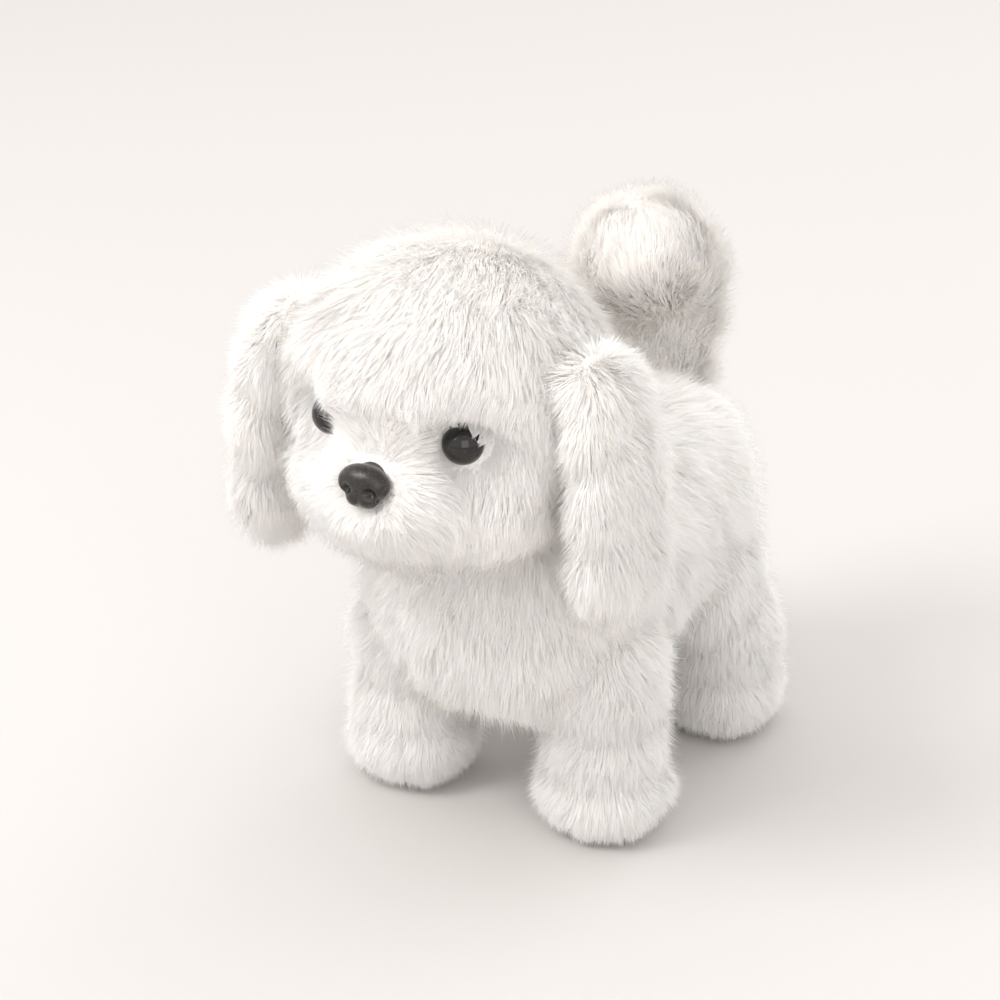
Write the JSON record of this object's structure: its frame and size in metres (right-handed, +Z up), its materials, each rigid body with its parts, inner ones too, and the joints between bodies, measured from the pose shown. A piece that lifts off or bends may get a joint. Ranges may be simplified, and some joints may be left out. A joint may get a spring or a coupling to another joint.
{
  "type": "interactive plush pet",
  "caption": "Walking plush puppy with floppy ears and a curled tail: a geared chassis swings four legs and nods the head.",
  "frame": {"origin": "on the floor, under the middle of the toy's bounding box", "axes": "+Z up, the puppy faces -Y, its left side is +X"},
  "size_m": [0.1194, 0.1799, 0.1715],
  "materials": {
    "plush_white": "long soft pile",
    "padding": "polyester filling",
    "bead_black": "glossy",
    "nose_black": "semi-gloss",
    "case_plastic": "fine grain",
    "gear_plastic": "smooth",
    "steel": "drawn",
    "motor_can": "rolled",
    "pinion_brass": "machined",
    "contact_plate": "plated",
    "cell_wrap": "shrink wrap",
    "board_green": "solder mask",
    "black_plastic": "satin",
    "wire_red": "insulation",
    "sole_rubber": "ribbed"
  },
  "bodies": {
    "chassis": {"belly_housing": "case_plastic", "chassis_left_shell": "case_plastic", "chassis_right_shell": "case_plastic", "case_screws": "steel", "gearbox_plate": "case_plastic", "gear_axles": "steel", "motor": "motor_can", "motor_strap": "case_plastic", "batteries": "cell_wrap", "battery_contacts": "contact_plate", "circuit_board": "board_green", "speaker": "black_plastic", "slide_switch": "black_plastic", "wiring": "wire_red", "hip_axles": "steel", "axle_caps": "case_plastic", "neck_post": "case_plastic", "neck_pin": "steel", "tail_pin": "steel", "tail_spring": "steel", "body_plush": "plush_white", "back_padding": "padding"},
    "door": {"battery_door": "case_plastic", "door_screw": "steel"},
    "knob": {"switch_knob": "black_plastic"},
    "crankshaft": {"crank_axle": "steel", "crank_left": "gear_plastic", "crank_right": "gear_plastic", "crank_gear": "gear_plastic", "nod_cam": "gear_plastic"},
    "second_gear": {"gear_two": "gear_plastic"},
    "first_gear": {"gear_one": "gear_plastic"},
    "motor_shaft": {"motor_pinion": "pinion_brass"},
    "leg_front_left": {"front_left_leg": "case_plastic", "front_left_sole": "sole_rubber", "front_left_paw": "plush_white"},
    "leg_front_right": {"front_right_leg": "case_plastic", "front_right_sole": "sole_rubber", "front_right_paw": "plush_white"},
    "leg_rear_left": {"rear_left_leg": "case_plastic", "rear_left_sole": "sole_rubber", "rear_left_paw": "plush_white"},
    "leg_rear_right": {"rear_right_leg": "case_plastic", "rear_right_sole": "sole_rubber", "rear_right_paw": "plush_white"},
    "link_left": {"left_link": "gear_plastic"},
    "link_right": {"right_link": "gear_plastic"},
    "head": {"head_core_front": "case_plastic", "head_core_rear": "case_plastic", "head_screws": "steel", "nod_lever": "gear_plastic", "head_plush": "plush_white", "eyes": "bead_black", "nose": "nose_black", "face_washers": "case_plastic"},
    "left_ear": {"ear_left": "plush_white"},
    "right_ear": {"ear_right": "plush_white"},
    "tail": {"tail_lever": "case_plastic", "tail_plush": "plush_white"}
  },
  "joints": [
    {"name": "crank_spin", "type": "hinge", "parent": "chassis", "child": "crankshaft", "pos_m": [0, -0.0153, 0.074], "axis": [1, 0, 0], "continuous": true},
    {"name": "second_gear_spin", "type": "hinge", "parent": "chassis", "child": "second_gear", "pos_m": [0, 0.0009, 0.074], "axis": [1, 0, 0], "continuous": true},
    {"name": "first_gear_spin", "type": "hinge", "parent": "chassis", "child": "first_gear", "pos_m": [0, 0.0159, 0.074], "axis": [1, 0, 0], "continuous": true},
    {"name": "motor_spin", "type": "hinge", "parent": "chassis", "child": "motor_shaft", "pos_m": [0, 0.0309, 0.074], "axis": [1, 0, 0], "continuous": true},
    {"name": "front_left_leg_swing", "type": "hinge", "parent": "chassis", "child": "leg_front_left", "pos_m": [0.03, -0.0153, 0.058], "axis": [1, 0, 0], "range_deg": [-12, 12]},
    {"name": "front_right_leg_swing", "type": "hinge", "parent": "chassis", "child": "leg_front_right", "pos_m": [-0.03, -0.0153, 0.058], "axis": [1, 0, 0], "range_deg": [-12, 12]},
    {"name": "rear_left_leg_swing", "type": "hinge", "parent": "chassis", "child": "leg_rear_left", "pos_m": [0.03, 0.0527, 0.058], "axis": [1, 0, 0], "range_deg": [-12, 12]},
    {"name": "rear_right_leg_swing", "type": "hinge", "parent": "chassis", "child": "leg_rear_right", "pos_m": [-0.03, 0.0527, 0.058], "axis": [1, 0, 0], "range_deg": [-12, 12]},
    {"name": "left_link_pivot", "type": "hinge", "parent": "leg_front_left", "child": "link_left", "pos_m": [0.027, -0.0153, 0.066], "axis": [1, 0, 0], "range_deg": [-12, 12]},
    {"name": "right_link_pivot", "type": "hinge", "parent": "leg_front_right", "child": "link_right", "pos_m": [-0.027, -0.0153, 0.066], "axis": [1, 0, 0], "range_deg": [-12, 12]},
    {"name": "head_nod", "type": "hinge", "parent": "chassis", "child": "head", "pos_m": [0, -0.0323, 0.101], "axis": [1, 0, 0], "range_deg": [-8, 8]},
    {"name": "left_ear_flop", "type": "hinge", "parent": "head", "child": "left_ear", "pos_m": [0.0416, -0.0463, 0.15], "axis": [0, -1, 0], "range_deg": [0, 45]},
    {"name": "right_ear_flop", "type": "hinge", "parent": "head", "child": "right_ear", "pos_m": [-0.0416, -0.0463, 0.15], "axis": [0, 1, 0], "range_deg": [0, 45]},
    {"name": "tail_wag", "type": "hinge", "parent": "chassis", "child": "tail", "pos_m": [0, 0.0562, 0.08], "axis": [0, 1, 0], "range_deg": [-15, 15], "stiffness_Nm_per_rad": 0.15},
    {"name": "battery_door_lift", "type": "slide", "parent": "chassis", "child": "door", "axis": [0, 0, -1], "range_m": [0, 0.012]},
    {"name": "power_switch_slide", "type": "slide", "parent": "chassis", "child": "knob", "axis": [1, 0, 0], "range_m": [0, 0.004]}
  ],
  "couplings": [
    {"joint": "second_gear_spin", "follows": "crank_spin", "ratio": -4.4},
    {"joint": "first_gear_spin", "follows": "crank_spin", "ratio": 17.6},
    {"joint": "motor_spin", "follows": "crank_spin", "ratio": -70.4},
    {"joint": "front_right_leg_swing", "follows": "front_left_leg_swing", "ratio": -1},
    {"joint": "rear_left_leg_swing", "follows": "front_left_leg_swing", "ratio": 1},
    {"joint": "rear_right_leg_swing", "follows": "front_left_leg_swing", "ratio": -1},
    {"joint": "left_link_pivot", "follows": "front_left_leg_swing", "ratio": -1},
    {"joint": "right_link_pivot", "follows": "front_left_leg_swing", "ratio": 1},
    {"joint": "head_nod", "follows": "front_left_leg_swing", "ratio": 0.66667}
  ]
}
